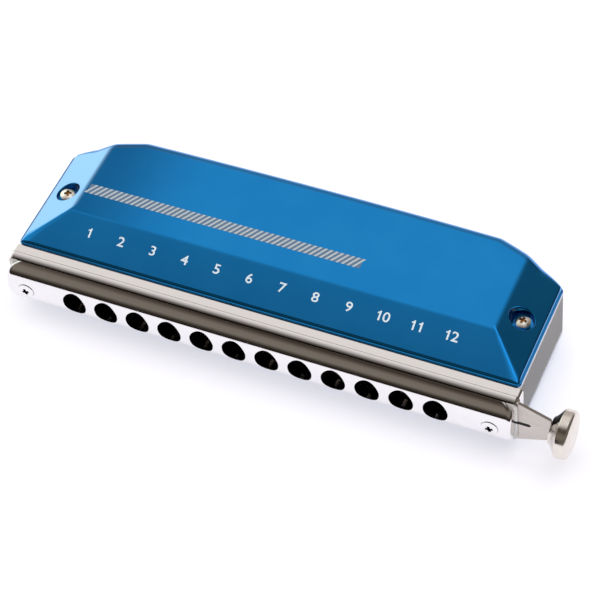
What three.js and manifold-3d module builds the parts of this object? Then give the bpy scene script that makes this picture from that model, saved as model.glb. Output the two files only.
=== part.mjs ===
// Twelve-hole chromatic harmonica in millimetres, +Z up, with its slide button towards +X.
// Each piece is built about the middle of the row of holes: X runs along the row, Y from the
// lips to the back, and Z up from the middle plane. The last group moves the origin to the
// centre of the flat face that the harmonica rests on.
import * as THREE from "three";
import { mergeVertices } from "three/addons/utils/BufferGeometryUtils.js";
import Module from "manifold-3d";

// Clearances
const seatGap = 0.05; // between pieces that are clamped together
const runningGap = 0.1; // on each side of the slide
const overrun = 1; // how far a cut runs past the face it opens
const weldDistance = 0.0001;

// Row of holes
const holeCount = 12;
const holePitch = 9.1;
const holeWidth = 6.6;
const holeHeight = 7.6;
const windowWidth = 4.2; // opening behind each hole, over a pair of chambers
const windowHeight = 4;
const rowSplit = 1.2; // bar between the upper and the lower windows

// Body
const endMargin = 19.15; // from the last hole's centre to the end wall
const combHalfThickness = 6.95;
const reedPlateThickness = 1;
const railDepth = 2.5; // comb's front rail, from the slide to the covers
const coverDepth = 41.3; // from the cover's front edge to its back
const coverSkin = 0.8;
const coverRise = 5.69; // top face above the reed plate
const frontLip = 0.85;
const endLip = 0.4;
const frontSlope = 12.2;
const endSlope = 11.06;
const backRadius = 3.6;
const cornerRadius = 1.2;
const flankLength = 31.7; // straight part of the end wall
const backTaper = 19.2; // length of each drawn-in back corner
const backBow = 0.6; // how far the middle of the back stands out
const combSetback = 3.8; // cover's back edge behind the comb
const soundSlotHeight = 2.6;
const soundSlotInset = 9; // where the slot ends, inside each drawn-in corner

// Mouthpiece
const frontOverhang = 0.9; // mouthpiece, slide plates and rail beyond the end walls
const mouthpieceDepth = 3.6;
const faceHalfHeight = 1.4; // flat part of the face
const shoulderRise = 6.35; // from the flat part up to the rail
const endShoulder = 0.9; // rounded part at each end of the row
const faceCornerRadius = 1.2; // of the nose's outline, seen from the front, at the face
const noseCornerRadius = 7.5; // and where it meets the rail
const railCornerRadius = 1;
const mouthpieceScrewInset = 4.96;
const mouthpieceScrewRadius = 1.2;
const mouthpieceScrewLength = 13;
const mouthpieceHeadRadius = 2.2;
const mouthpieceHeadDepth = 1.1;
const mouthpieceHeadSetback = 0.2; // behind the face, where the end already rounds off

// Slide and its plates
const frontPlateThickness = 0.4;
const frontWindowWidth = 5.8;
const slideThickness = 0.8;
const slideHalfHeight = 7.2;
const slideTravel = 4.55;
const slideEndRoom = 0.2; // between the pressed slide's end and the end of its channel
const backPlateThickness = 0.5;
const bumperWall = 0.6;
const bladeTaper = 8.4;
const bladeSlitHeight = 0.45;
const bladeSlitReach = 3.3; // beyond the mouthpiece
const bladeSlitDrop = 0.5; // below the middle plane
const neckHalfHeight = 3.9;
const tangHalfHeight = 2.2;
const tangLength = 3.4;

// Button
const buttonRadius = 6.25;
const buttonRim = 3.3;
const buttonFlare = 2.1;
const buttonHubRadius = 3.6;
const buttonDome = 0.5;

// Return spring
const wireRadius = 0.35;
const springHoleRadius = 0.7;
const springHoleInset = 3.8; // from the slide's inner end
const springHeight = 4.4; // above the middle plane
const springPocketDepth = 9.4;
const springPocketHeight = 2.6;
const springPocketWall = 1.2;

// Chambers, slots and reeds, from the lowest note to the highest
const chamberWidth = 3.5;
const chamberDividerAtWindow = 0.8;
const centreWeb = 1.6;
const chamberFrontWall = 0.5;
const lowChamberLength = 30;
const highChamberLength = 17;
const slotWidth = 2.3;
const slotFrontMargin = 3.4;
const lowSlotLength = 21;
const highSlotLength = 10;
const reedSideGap = 0.15;
const reedThickness = 0.3;
const reedLift = 0.15;
const reedPadLength = 2.6;
const reedPadThickness = 0.55;
const reedPadExtraWidth = 0.4;

// Screws of covers and reed plates
const coverScrewInset = 5.75;
const coverScrewBack = 18.05; // behind the cover's front edge
const coverScrewRadius = 1.1;
const coverScrewLength = 7;
const coverHeadRadius = 2.05;
const coverHeadHeight = 1.6;
const cupRadius = 3.2;
const cupFloor = 1.2;
const plateScrewRadius = 0.8;
const plateScrewLength = 4;
const plateHeadRadius = 1.6;
const plateHeadHeight = 0.9;
const plateScrewEndInset = 11.2;
const plateScrewFront = 9.9; // behind the cover's front edge
const plateScrewRear = 29;
const plateScrewMiddle = 20; // along the row
const plateScrewEdge = 2.3; // in from the comb's back face

// Fineness of the round shapes
const roundSides = 32;
const holeSides = 20;
const screwSides = 14;
const wireSides = 6;
const arcSteps = 5;
const taperSteps = 8;
const shoulderSteps = 9;

// Places that follow from the sizes
const rowHalf = (holePitch * (holeCount - 1)) / 2;
const bodyHalf = rowHalf + endMargin;
const frontHalf = bodyHalf + frontOverhang;
const frontPlateFront = mouthpieceDepth + seatGap;
const frontPlateBack = frontPlateFront + frontPlateThickness;
const slideFront = frontPlateBack + runningGap;
const slideBack = slideFront + slideThickness;
const backPlateFront = slideBack + runningGap;
const backPlateBack = backPlateFront + backPlateThickness;
const combFront = backPlateBack + seatGap;
const railBack = combFront + railDepth;
const coverFront = railBack + seatGap;
const coverBack = coverFront + coverDepth;
const combBack = coverBack - combSetback;
const plateInner = combHalfThickness + seatGap;
const plateOuter = plateInner + reedPlateThickness;
const coverSeat = plateOuter + seatGap;
const coverTop = plateOuter + coverRise;
const flatHalf = bodyHalf - endSlope;
const flatFront = coverFront + frontSlope;
const flatBack = coverBack - backRadius;
const mouthpieceScrewX = bodyHalf - mouthpieceScrewInset;
const bumperRadius = mouthpieceScrewRadius + runningGap + bumperWall;
const coverScrewX = bodyHalf - coverScrewInset;
const coverScrewY = coverFront + coverScrewBack;
const cupFloorTop = coverSeat + cupFloor;
const slideInnerEnd = -(bodyHalf - slideTravel - slideEndRoom);
const neckX = frontHalf + bladeTaper;
const buttonX = neckX + runningGap;
const springHoleX = slideInnerEnd + springHoleInset;
const windowLow = rowSplit / 2;
const windowHigh = windowLow + windowHeight;

const wasm = await Module();
wasm.setup();

const point = (x, y) => new THREE.Vector2(x, y);
const holeX = (index) => index * holePitch - rowHalf;
const cellX = (cell) => holeX(Math.floor(cell / 2)) + ((cell % 2) - 0.5) * (holePitch / 2);
const cellCount = holeCount * 2;

// A length that goes from its value at the lowest note to that at the highest.
function graded(low, high, cell) {
  return low + ((high - low) * cell) / (cellCount - 1);
}

// A closed three.js geometry as a solid that can be joined and cut.
function solidOf(geometry) {
  const bare = geometry.clone();
  bare.deleteAttribute("normal");
  bare.deleteAttribute("uv");
  const merged = mergeVertices(bare, weldDistance);
  return new wasm.Manifold(
    new wasm.Mesh({
      numProp: 3,
      vertProperties: merged.attributes.position.array,
      triVerts: new Uint32Array(merged.index.array),
    }),
  );
}

function geometryOf(solid) {
  const mesh = solid.getMesh();
  const geometry = new THREE.BufferGeometry();
  geometry.setAttribute("position", new THREE.BufferAttribute(mesh.vertProperties, 3));
  geometry.setIndex(new THREE.BufferAttribute(mesh.triVerts, 1));
  geometry.computeVertexNormals();
  return geometry;
}

function block([x0, x1], [y0, y1], [z0, z1]) {
  const box = new THREE.BoxGeometry(x1 - x0, y1 - y0, z1 - z0);
  return solidOf(box.translate((x0 + x1) / 2, (y0 + y1) / 2, (z0 + z1) / 2));
}

function rodAlongY(radius, [y0, y1], x, z, sides) {
  const rod = new THREE.CylinderGeometry(radius, radius, y1 - y0, sides);
  return solidOf(rod.translate(x, (y0 + y1) / 2, z));
}

function rodAlongZ(radius, [z0, z1], x, y, sides) {
  const rod = new THREE.CylinderGeometry(radius, radius, z1 - z0, sides);
  return solidOf(rod.rotateX(Math.PI / 2).translate(x, y, (z0 + z1) / 2));
}

function extruded(outline, depth) {
  return new THREE.ExtrudeGeometry(new THREE.Shape(outline), { depth, bevelEnabled: false });
}

// An outline in X and Y, raised from z0 to z1.
function prismAlongZ(outline, [z0, z1]) {
  return solidOf(extruded(outline, z1 - z0).translate(0, 0, z0));
}

// An outline in Y and Z, drawn from x0 to x1.
function prismAlongX(outline, [x0, x1]) {
  const turn = new THREE.Matrix4().makeBasis(
    new THREE.Vector3(0, 1, 0),
    new THREE.Vector3(0, 0, 1),
    new THREE.Vector3(1, 0, 0),
  );
  return solidOf(extruded(outline, x1 - x0).applyMatrix4(turn).translate(x0, 0, 0));
}

// An outline in X and Z, drawn from y0 to y1.
function prismAlongY(outline, [y0, y1]) {
  const turn = new THREE.Matrix4().makeRotationX(Math.PI / 2);
  return solidOf(extruded(outline, y1 - y0).applyMatrix4(turn).translate(0, y1, 0));
}

function joined(solids) {
  return solids.reduce((whole, next) => whole.add(next));
}

function cut(solid, cutters) {
  return cutters.length ? solid.subtract(joined(cutters)) : solid;
}

// The same form after a three.js transform; a mirroring one also turns its faces round.
function transformed(solid, matrix) {
  const geometry = geometryOf(solid).applyMatrix4(matrix);
  const corners = geometry.index.array;
  if (matrix.determinant() < 0) {
    for (let start = 0; start < corners.length; start += 3) {
      [corners[start], corners[start + 1]] = [corners[start + 1], corners[start]];
    }
  }
  geometry.computeVertexNormals();
  return solidOf(geometry);
}

// The same form below the middle plane.
function mirrored(solid) {
  return transformed(solid, new THREE.Matrix4().makeScale(1, 1, -1));
}

// Points of an arc about a centre, from one angle to another, in degrees.
function arc(centreX, centreY, radius, from, to, steps) {
  return Array.from({ length: steps + 1 }, (unused, step) => {
    const angle = THREE.MathUtils.degToRad(from + ((to - from) * step) / steps);
    return point(centreX + radius * Math.cos(angle), centreY + radius * Math.sin(angle));
  });
}

// A convex outline, counter-clockwise, with each side moved in by a distance.
function insetOutline(outline, distance) {
  const sides = outline.map((start, index) => {
    const along = outline[(index + 1) % outline.length].clone().sub(start).normalize();
    const inward = point(-along.y, along.x);
    return { start: start.clone().addScaledVector(inward, distance), along };
  });
  return sides.map((side, index) => {
    const before = sides[(index + sides.length - 1) % sides.length];
    const between = side.start.clone().sub(before.start);
    const reach = between.cross(side.along) / before.along.cross(side.along);
    return before.start.clone().addScaledVector(before.along, reach);
  });
}

// The body seen from above: straight end walls and drawn-in back corners.
function bodyOutline(front, back) {
  const flankEnd = coverFront + flankLength;
  const taperStart = bodyHalf - backTaper;
  const taperBack = coverBack - backBow;
  const firstBendShare = 0.23;
  const [secondBendShareX, secondBendShareY] = [0.44, 0.7];
  const taper = new THREE.CubicBezierCurve(
    point(bodyHalf, flankEnd),
    point(bodyHalf, flankEnd + (taperBack - flankEnd) * firstBendShare),
    point(
      taperStart + backTaper * secondBendShareX,
      flankEnd + (taperBack - flankEnd) * secondBendShareY,
    ),
    point(taperStart, taperBack),
  ).getPoints(taperSteps);
  const right = [
    ...arc(bodyHalf - cornerRadius, front + cornerRadius, cornerRadius, -90, 0, arcSteps),
    ...taper,
  ];
  const left = right.map((spot) => point(-spot.x, spot.y)).reverse();
  const bow = new THREE.QuadraticBezierCurve(
    point(taperStart, taperBack),
    point(0, coverBack + backBow),
    point(-taperStart, taperBack),
  ).getPoints(taperSteps);
  const outline = [...right, ...bow.slice(1, -1), ...left];
  const whole = prismAlongZ(outline, [-coverTop, coverTop]);
  const kept = block([-bodyHalf, bodyHalf], [front, back], [-coverTop, coverTop]);
  return whole.intersect(kept);
}

// The cover's block form: three profiles, one along each axis, cut one another.
function coverForm(floor, inset) {
  const sideProfile = [
    point(coverFront, floor),
    point(coverBack, floor),
    ...arc(flatBack, coverTop - backRadius, backRadius, 0, 90, arcSteps),
    point(flatFront, coverTop),
    point(coverFront, coverSeat + frontLip),
  ];
  const endProfile = [
    point(-bodyHalf, floor),
    point(bodyHalf, floor),
    point(bodyHalf, coverSeat + endLip),
    point(flatHalf, coverTop),
    point(-flatHalf, coverTop),
    point(-bodyHalf, coverSeat + endLip),
  ];
  const along = prismAlongX(insetOutline(sideProfile, inset), [-bodyHalf, bodyHalf]);
  const across = prismAlongY(insetOutline(endProfile, inset), [coverFront, coverBack]);
  return along.intersect(across);
}

// A pressed shell with an open underside, two screw cups and a sound slot along its back.
function coverShell() {
  const outline = bodyOutline(coverFront, coverBack);
  const outside = coverForm(coverSeat, 0).intersect(outline);
  const insetX = (bodyHalf - coverSkin) / bodyHalf;
  const insetY = (coverDepth - coverSkin * 2) / coverDepth;
  const shrink = new THREE.Matrix4()
    .makeTranslation(0, coverFront + coverSkin, 0)
    .multiply(new THREE.Matrix4().makeScale(insetX, insetY, 1))
    .multiply(new THREE.Matrix4().makeTranslation(0, -coverFront, 0));
  const core = transformed(outline, shrink);
  const inside = coverForm(coverSeat - overrun - coverSkin, coverSkin).intersect(core);
  const slotHalf = bodyHalf - backTaper + soundSlotInset;
  const slot = block(
    [-slotHalf, slotHalf],
    [flatBack, coverBack + overrun],
    [coverSeat - overrun, coverSeat + soundSlotHeight],
  );
  const shell = cut(outside, [inside, slot]);
  const cups = [-coverScrewX, coverScrewX].map((x) =>
    rodAlongZ(cupRadius + coverSkin, [coverSeat, coverTop], x, coverScrewY, roundSides),
  );
  const wells = [-coverScrewX, coverScrewX].map((x) =>
    rodAlongZ(cupRadius, [cupFloorTop, coverTop + overrun], x, coverScrewY, roundSides),
  );
  const holes = [-coverScrewX, coverScrewX].map((x) =>
    rodAlongZ(
      coverScrewRadius + runningGap,
      [coverSeat - overrun, coverTop],
      x,
      coverScrewY,
      screwSides,
    ),
  );
  const cupsInside = joined(cups).intersect(outside);
  return cut(shell.add(cupsInside), [...wells, ...holes]);
}

// A rounded rectangle seen from the front, as one ring of points at a depth behind the lips.
function roundedRing(halfX, halfZ, radius, depth) {
  const quarters = [
    [1, 1, 0],
    [-1, 1, 90],
    [-1, -1, 180],
    [1, -1, 270],
  ];
  const corners = quarters.flatMap(([signX, signZ, from]) =>
    arc(signX * (halfX - radius), signZ * (halfZ - radius), radius, from, from + 90, arcSteps),
  );
  return corners.map((spot) => new THREE.Vector3(spot.x, depth, spot.y));
}

// A closed skin over rings that follow one another from front to back.
function skinned(rings) {
  const count = rings[0].length;
  const middles = [rings[0], rings.at(-1)].map((ring) => new THREE.Vector3(0, ring[0].y, 0));
  const geometry = new THREE.BufferGeometry().setFromPoints([...rings.flat(), ...middles]);
  const frontMiddle = rings.length * count;
  const backMiddle = frontMiddle + 1;
  const lastRing = (rings.length - 1) * count;
  const faces = [];
  for (let side = 0; side < count; side += 1) {
    const next = (side + 1) % count;
    faces.push(frontMiddle, side, next, backMiddle, lastRing + next, lastRing + side);
    for (let start = 0; start < lastRing; start += count) {
      const behind = start + count;
      faces.push(start + side, behind + side, behind + next);
      faces.push(start + side, behind + next, start + next);
    }
  }
  return solidOf(geometry.setIndex(faces));
}

// The rounded nose that the mouthpiece and the front plate share: its shoulder rises from the
// flat face to the rail along a quarter of an ellipse, all the way round.
function nose([y0, y1]) {
  const [first, last] = [y0, y1].map((y) => Math.acos(1 - y / combFront));
  const rings = Array.from({ length: shoulderSteps + 1 }, (unused, step) => {
    const angle = first + ((last - first) * step) / shoulderSteps;
    const missing = 1 - Math.sin(angle);
    return roundedRing(
      frontHalf - endShoulder * missing,
      faceHalfHeight + shoulderRise - shoulderRise * missing,
      faceCornerRadius + (noseCornerRadius - faceCornerRadius) * (1 - Math.cos(angle)) ** 2,
      combFront * (1 - Math.cos(angle)),
    );
  });
  return skinned(rings);
}

// Ends of a reed slot along Y, for one cell.
function slotSpan(cell) {
  const start = coverFront + slotFrontMargin;
  return [start, start + graded(lowSlotLength, highSlotLength, cell)];
}

// One brass reed, free over its slot and fixed by its pad at one end.
function reed(cell, side) {
  const [start, end] = slotSpan(cell);
  const face = side > 0 ? plateOuter : plateInner;
  const layer = (from, to) => {
    const ends = [face + side * from, face + side * to];
    return ends.sort((a, b) => a - b);
  };
  const x = cellX(cell);
  const padHalf = (slotWidth + reedPadExtraWidth) / 2;
  const tongueHalf = slotWidth / 2 - reedSideGap;
  const padSpan = side > 0 ? [end, end + reedPadLength] : [start - reedPadLength, start];
  const tongueSpan = side > 0 ? [start + reedSideGap, end] : [start, end - reedSideGap];
  const tongue = block(
    [x - tongueHalf, x + tongueHalf],
    side > 0 ? [tongueSpan[0], padSpan[1]] : [padSpan[0], tongueSpan[1]],
    layer(reedLift, reedLift + reedThickness),
  );
  const pad = block([x - padHalf, x + padHalf], padSpan, layer(-seatGap, reedPadThickness));
  return tongue.add(pad);
}

// Upper reed plate with its 24 slots and its reeds, on alternate faces.
function reedPlate() {
  const plate = bodyOutline(coverFront, combBack).intersect(
    block([-bodyHalf, bodyHalf], [coverFront, combBack], [plateInner, plateOuter]),
  );
  const cells = Array.from({ length: cellCount }, (unused, cell) => cell);
  const through = [plateInner - overrun, plateOuter + overrun];
  const slots = cells.map((cell) =>
    block([cellX(cell) - slotWidth / 2, cellX(cell) + slotWidth / 2], slotSpan(cell), through),
  );
  const reeds = cells.map((cell) => reed(cell, cell % 2 ? 1 : -1));
  return cut(plate, [...slots, ...screwHoles(through)]).add(joined(reeds));
}

// Where the small screws hold a reed plate to the comb.
function plateScrewSpots() {
  const endX = bodyHalf - plateScrewEndInset;
  const front = coverFront + plateScrewFront;
  const rear = coverFront + plateScrewRear;
  const edge = combBack - plateScrewEdge;
  return [
    [-endX, front],
    [endX, front],
    [-endX, rear],
    [endX, rear],
    [-plateScrewMiddle, edge],
    [plateScrewMiddle, edge],
  ];
}

// Holes for the cover screws and the plate screws, over a span of heights.
function screwHoles(span) {
  const coverHoles = [-coverScrewX, coverScrewX].map((x) =>
    rodAlongZ(coverScrewRadius + seatGap, span, x, coverScrewY, screwSides),
  );
  const plateHoles = plateScrewSpots().map(([x, y]) =>
    rodAlongZ(plateScrewRadius + seatGap, span, x, y, screwSides),
  );
  return [...coverHoles, ...plateHoles];
}

// The chambers of one side, each open to its reed and, through the rail, to its hole.
function chambers() {
  const floor = centreWeb / 2;
  const front = railBack + chamberFrontWall;
  const pockets = Array.from({ length: cellCount }, (unused, cell) => {
    const length = graded(lowChamberLength, highChamberLength, cell);
    const x = cellX(cell);
    return block(
      [x - chamberWidth / 2, x + chamberWidth / 2],
      [front, front + length],
      [floor, combHalfThickness + overrun],
    );
  });
  const throats = Array.from({ length: cellCount }, (unused, cell) => {
    const x = holeX(Math.floor(cell / 2));
    const near = chamberDividerAtWindow / 2;
    const far = windowWidth / 2;
    const span = cell % 2 ? [x + near, x + far] : [x - far, x - near];
    return block(span, [combFront - overrun, front + overrun], [windowLow, windowHigh]);
  });
  return [...pockets, ...throats];
}

// The pocket in the comb's left end that holds the return spring.
function springPocket() {
  return block(
    [-(bodyHalf - springPocketWall), springHoleX + springHoleRadius],
    [combFront - overrun, combFront + springPocketDepth],
    [springHeight - springPocketHeight / 2, springHeight + springPocketHeight / 2],
  );
}

// Plated comb: a core between the reed plates and a full-height rail behind the slide.
function comb() {
  const outline = bodyOutline(combFront, combBack);
  const core = outline.intersect(
    block([-bodyHalf, bodyHalf], [combFront, combBack], [-combHalfThickness, combHalfThickness]),
  );
  const rail = skinned(
    [combFront, railBack].map((y) => roundedRing(frontHalf, plateOuter, railCornerRadius, y)),
  );
  const upper = [
    ...chambers(),
    ...screwHoles([coverSeat - coverScrewLength, plateOuter + overrun]),
  ];
  const boltHoles = [-mouthpieceScrewX, mouthpieceScrewX].map((x) =>
    rodAlongY(
      mouthpieceScrewRadius + seatGap,
      [combFront - overrun, mouthpieceScrewLength + overrun],
      x,
      0,
      screwSides,
    ),
  );
  const cutters = [...upper, ...upper.map(mirrored), ...boltHoles, springPocket()];
  return cut(core.add(rail), cutters);
}

// Chromed mouthpiece: a bar whose shoulder runs all round its flat face, with the row of holes
// and two screw seats.
function mouthpiece() {
  const headEnd = mouthpieceHeadSetback + mouthpieceHeadDepth;
  const bores = Array.from({ length: holeCount }, (unused, index) => {
    const oval = new THREE.EllipseCurve(holeX(index), 0, holeWidth / 2, holeHeight / 2);
    return prismAlongY(oval.getPoints(holeSides), [-overrun, mouthpieceDepth + overrun]);
  });
  const screwSeats = [-mouthpieceScrewX, mouthpieceScrewX].flatMap((x) => [
    rodAlongY(
      mouthpieceScrewRadius + seatGap,
      [-overrun, mouthpieceDepth + overrun],
      x,
      0,
      screwSides,
    ),
    rodAlongY(mouthpieceHeadRadius + seatGap, [-overrun, headEnd], x, 0, roundSides),
  ]);
  return cut(nose([0, mouthpieceDepth]), [...bores, ...screwSeats]);
}

// Front plate: a channel with rounded edges that close over the slide and the back plate.
function slideFrontPlate() {
  const channelHalf = slideHalfHeight + runningGap;
  const channel = block(
    [-frontHalf - overrun, frontHalf + overrun],
    [frontPlateBack, backPlateBack + overrun],
    [-channelHalf, channelHalf],
  );
  const span = [frontPlateFront - overrun, frontPlateBack + overrun];
  const windows = Array.from({ length: holeCount }, (unused, index) =>
    block(
      [holeX(index) - frontWindowWidth / 2, holeX(index) + frontWindowWidth / 2],
      span,
      [-windowHigh, windowHigh],
    ),
  );
  const screwHolesHere = [-mouthpieceScrewX, mouthpieceScrewX].map((x) =>
    rodAlongY(mouthpieceScrewRadius + seatGap, span, x, 0, screwSides),
  );
  const form = nose([frontPlateFront, backPlateBack]);
  return cut(form, [channel, ...windows, ...screwHolesHere]);
}

// Back plate: an upper and a lower window for each hole, and a slit for the spring's leg.
function slideBackPlate() {
  const halfHeight = slideHalfHeight + runningGap - seatGap;
  const ends = [backPlateFront, backPlateBack];
  const sheet = skinned(
    ends.map((y) => roundedRing(frontHalf, halfHeight, railCornerRadius, y)),
  );
  const span = [backPlateFront - overrun, backPlateBack + overrun];
  const upper = Array.from({ length: holeCount }, (unused, index) =>
    block(
      [holeX(index) - windowWidth / 2, holeX(index) + windowWidth / 2],
      span,
      [windowLow, windowHigh],
    ),
  );
  const screwHolesHere = [-mouthpieceScrewX, mouthpieceScrewX].map((x) =>
    rodAlongY(mouthpieceScrewRadius + seatGap, span, x, 0, screwSides),
  );
  const slit = block(
    [springHoleX - slideTravel - springHoleRadius, springHoleX + springHoleRadius],
    span,
    [springHeight - springHoleRadius, springHeight + springHoleRadius],
  );
  return cut(sheet, [...upper, ...upper.map(mirrored), ...screwHolesHere, slit]);
}

// Slide slots of one row: each is a pitch wide, at every second hole, so that at rest the row
// is open at those holes, and with the button in it is open at the holes between them.
function slideSlots(firstHole, side) {
  const quarter = holePitch / 4;
  const lowest = holeX(0) - quarter;
  const highest = holeX(holeCount - 1) + quarter * 3;
  const heights = [side * windowLow, side * windowHigh].sort((a, b) => a - b);
  const slots = [];
  for (let index = firstHole; index <= holeCount; index += 2) {
    const left = Math.max(holeX(index) - quarter * 3, lowest);
    const right = Math.min(holeX(index) + quarter, highest);
    slots.push(block([left, right], [slideFront - overrun, slideBack + overrun], heights));
  }
  return slots;
}

// The blade: slotted between the plates, drawn in outside to a neck and a tang.
function slide() {
  const upperEdge = [
    point(slideInnerEnd, slideHalfHeight),
    point(frontHalf, slideHalfHeight),
    point(neckX, neckHalfHeight),
    point(neckX, tangHalfHeight),
    point(neckX + tangLength, tangHalfHeight),
  ];
  const lowerEdge = upperEdge.map((spot) => point(spot.x, -spot.y));
  const blade = prismAlongY([...lowerEdge, ...upperEdge.reverse()], [slideFront, slideBack]);
  const slack = bumperRadius + seatGap;
  const span = [slideFront - overrun, slideBack + overrun];
  const innerFork = block(
    [slideInnerEnd - overrun, slideTravel + slack - mouthpieceScrewX],
    span,
    [-slack, slack],
  );
  const shankSlack = mouthpieceScrewRadius + runningGap;
  const outerSlot = block(
    [mouthpieceScrewX - shankSlack, mouthpieceScrewX + slideTravel + shankSlack],
    span,
    [-shankSlack, shankSlack],
  );
  const slit = block(
    [mouthpieceScrewX, frontHalf + bladeSlitReach],
    span,
    [-bladeSlitDrop - bladeSlitHeight / 2, -bladeSlitDrop + bladeSlitHeight / 2],
  );
  const springHole = rodAlongY(springHoleRadius, span, springHoleX, springHeight, screwSides);
  const slots = [...slideSlots(0, 1), ...slideSlots(1, -1)];
  return cut(blade, [...slots, innerFork, outerSlot, slit, springHole]);
}

// Round button turned about the blade's line, with a flared back and a slot for the tang.
function slideButton() {
  const rimEnd = buttonFlare + buttonRim;
  const profile = [
    point(0, 0),
    point(buttonHubRadius, 0),
    point(buttonRadius, buttonFlare),
    point(buttonRadius, rimEnd - buttonDome),
    point(buttonRadius - buttonDome, rimEnd),
    point(0, rimEnd + buttonDome),
  ];
  const turned = new THREE.LatheGeometry(profile, roundSides);
  const middleY = (slideFront + slideBack) / 2;
  turned.rotateZ(-Math.PI / 2).translate(buttonX, middleY, 0);
  const slotHalfHeight = tangHalfHeight + seatGap;
  const tangSlot = block(
    [buttonX - overrun, neckX + tangLength + seatGap],
    [slideFront - seatGap, slideBack + seatGap],
    [-slotHalfHeight, slotHalfHeight],
  );
  return solidOf(turned).subtract(tangSlot);
}

// Return spring: one bent wire, from the pocket's end wall round to the hole in the slide.
function slideSpring() {
  const wallX = -(bodyHalf - springPocketWall - wireRadius - runningGap);
  const backY = combFront + springPocketDepth - wireRadius - runningGap;
  const frontY = combFront + wireRadius + runningGap;
  const bendX = (wallX + springHoleX) / 2;
  const place = (x, y) => new THREE.Vector3(x, y, springHeight);
  const route = new THREE.CatmullRomCurve3([
    place(wallX, frontY),
    place(wallX, (frontY + backY) / 2),
    place((wallX + bendX) / 2, backY),
    place(bendX, (frontY + backY * 3) / 4),
    place(springHoleX, backPlateBack),
    place(springHoleX, slideFront),
  ]);
  const section = new THREE.EllipseCurve(0, 0, wireRadius, wireRadius).getPoints(wireSides);
  const wire = new THREE.ExtrudeGeometry(new THREE.Shape(section), {
    steps: roundSides,
    extrudePath: route,
    bevelEnabled: false,
  });
  return solidOf(wire);
}

function slideBumper(x) {
  const span = [slideFront, slideBack];
  const sleeve = rodAlongY(bumperRadius, span, x, 0, screwSides);
  const bore = rodAlongY(
    mouthpieceScrewRadius + seatGap,
    [slideFront - overrun, slideBack + overrun],
    x,
    0,
    screwSides,
  );
  return sleeve.subtract(bore);
}

// A screw along Z with a domed head that stands on its seat.
function domedScrew(x, y, seat, shank, head) {
  const profile = [
    point(0, seat - shank.length),
    point(shank.radius, seat - shank.length),
    point(shank.radius, seat),
    point(head.radius, seat),
    point(head.radius, seat + head.height / 2),
    point(head.radius - head.height / 2, seat + head.height),
    point(0, seat + head.height),
  ];
  const turned = new THREE.LatheGeometry(profile, screwSides).rotateX(Math.PI / 2);
  return solidOf(turned.translate(x, y, 0));
}

// The mouthpiece screw: flat head sunk in the face, shank into the comb.
function mouthpieceScrew(x) {
  const headEnd = mouthpieceHeadSetback + mouthpieceHeadDepth - seatGap;
  const headSpan = [mouthpieceHeadSetback, headEnd];
  const head = rodAlongY(mouthpieceHeadRadius, headSpan, x, 0, roundSides);
  const shankSpan = [mouthpieceHeadSetback, mouthpieceScrewLength];
  return head.add(rodAlongY(mouthpieceScrewRadius, shankSpan, x, 0, screwSides));
}

const chrome = { color: "#d9d8d6", roughness: 0.06, metalness: 1 };
const blueLacquer = { color: "#1a6cab", roughness: 0.12, metalness: 0.9 };
const nickel = { color: "#cfc9c0", roughness: 0.18, metalness: 1 };
const platedResin = { color: "#a9a8ad", roughness: 0.25, metalness: 0.9 };
const brass = { color: "#c9a75a", roughness: 0.3, metalness: 1 };
const springSteel = { color: "#b9bcc0", roughness: 0.3, metalness: 1 };
const silicone = { color: "#e8e6e0", roughness: 0.6, metalness: 0 };

function named(name, solid, finish) {
  const mesh = new THREE.Mesh(geometryOf(solid), new THREE.MeshStandardMaterial(finish));
  mesh.name = name;
  return mesh;
}

const harmonica = new THREE.Group();
harmonica.add(named("comb", comb(), platedResin));
harmonica.add(named("mouthpiece", mouthpiece(), chrome));
harmonica.add(named("slide_front_plate", slideFrontPlate(), nickel));
harmonica.add(named("slide_back_plate", slideBackPlate(), nickel));
harmonica.add(named("slide", slide(), nickel));
harmonica.add(named("slide_button", slideButton(), nickel));
harmonica.add(named("slide_spring", slideSpring(), springSteel));
harmonica.add(named("slide_bumper", slideBumper(-mouthpieceScrewX), silicone));

const sides = [
  ["left", -1],
  ["right", 1],
];
for (const [side, sign] of sides) {
  const x = sign * mouthpieceScrewX;
  harmonica.add(named(`mouthpiece_screw_${side}`, mouthpieceScrew(x), nickel));
}

const upperPlate = reedPlate();
harmonica.add(named("upper_reed_plate", upperPlate, brass));
harmonica.add(named("lower_reed_plate", mirrored(upperPlate), brass));

const shell = coverShell();
harmonica.add(named("top_cover", shell, blueLacquer));
harmonica.add(named("bottom_cover", mirrored(shell), blueLacquer));

const coverShank = { radius: coverScrewRadius, length: coverScrewLength - cupFloor };
const coverHead = { radius: coverHeadRadius, height: coverHeadHeight };
for (const [side, sign] of sides) {
  const seat = cupFloorTop + seatGap;
  const screw = domedScrew(sign * coverScrewX, coverScrewY, seat, coverShank, coverHead);
  harmonica.add(named(`top_cover_screw_${side}`, screw, brass));
  harmonica.add(named(`bottom_cover_screw_${side}`, mirrored(screw), brass));
}

const plateShank = { radius: plateScrewRadius, length: plateScrewLength };
const plateHead = { radius: plateHeadRadius, height: plateHeadHeight };
plateScrewSpots().forEach(([x, y], index) => {
  const screw = domedScrew(x, y, plateOuter + seatGap, plateShank, plateHead);
  harmonica.add(named(`upper_plate_screw_${index + 1}`, screw, nickel));
  harmonica.add(named(`lower_plate_screw_${index + 1}`, mirrored(screw), nickel));
});

harmonica.position.set(0, -(flatFront + flatBack) / 2, coverTop);
const part = new THREE.Group();
part.add(harmonica);

export default part;
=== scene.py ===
import math

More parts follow.
